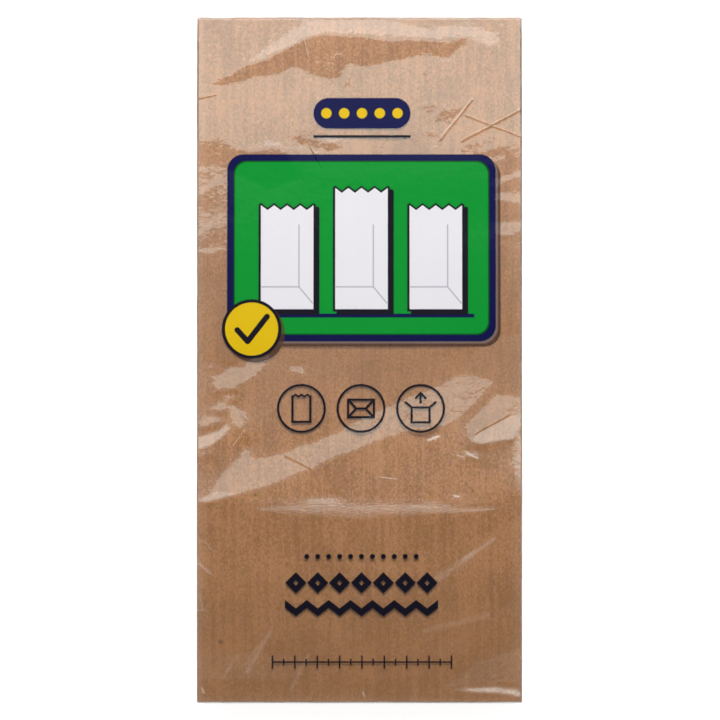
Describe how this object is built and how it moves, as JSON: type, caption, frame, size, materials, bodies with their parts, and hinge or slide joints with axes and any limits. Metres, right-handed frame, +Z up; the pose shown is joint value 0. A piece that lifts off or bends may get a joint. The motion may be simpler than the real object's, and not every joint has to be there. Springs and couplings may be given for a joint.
{
  "type": "pack of paper lunch bags",
  "caption": "Sealed rectangular pack of kraft paper lunch bags, each folded flat with its base folded up, in a clear film wrap; thicker at the base end and sloping down to the mouths.",
  "frame": {"origin": "on the floor under the middle of the pack", "axes": "+X across the bags, +Y from the bags' bottom folds to their open mouths, +Z up from the back seam to the printed front"},
  "size_m": [0.131, 0.2764, 0.0361],
  "materials": {
    "kraft_paper": "matt brown kraft paper with fine fibres",
    "clear_film": "thin clear gloss film with a printed panel in flat colours"
  },
  "bodies": {
    "root": {"bag_01": "kraft_paper", "bag_02": "kraft_paper", "bag_03": "kraft_paper", "bag_04": "kraft_paper", "bag_05": "kraft_paper", "bag_06": "kraft_paper", "bag_07": "kraft_paper", "bag_08": "kraft_paper", "bag_09": "kraft_paper", "bag_10": "kraft_paper", "bag_11": "kraft_paper", "bag_12": "kraft_paper", "bag_13": "kraft_paper", "bag_14": "kraft_paper", "bag_15": "kraft_paper", "bag_16": "kraft_paper", "bag_17": "kraft_paper", "bag_18": "kraft_paper", "bag_19": "kraft_paper", "bag_20": "kraft_paper", "bag_21": "kraft_paper", "bag_22": "kraft_paper", "bag_23": "kraft_paper", "bag_24": "kraft_paper", "bag_25": "kraft_paper", "bag_26": "kraft_paper", "bag_27": "kraft_paper", "bag_28": "kraft_paper", "bag_29": "kraft_paper", "bag_30": "kraft_paper", "bag_31": "kraft_paper", "bag_32": "kraft_paper", "bag_33": "kraft_paper", "bag_34": "kraft_paper", "bag_35": "kraft_paper", "bag_36": "kraft_paper", "bag_37": "kraft_paper", "bag_38": "kraft_paper", "bag_39": "kraft_paper", "bag_40": "kraft_paper", "bag_41": "kraft_paper", "bag_42": "kraft_paper", "bag_43": "kraft_paper", "bag_44": "kraft_paper", "bag_45": "kraft_paper", "bag_46": "kraft_paper", "bag_47": "kraft_paper", "bag_48": "kraft_paper", "bag_49": "kraft_paper", "bag_50": "kraft_paper", "film_wrap": "clear_film"}
  },
  "joints": []
}
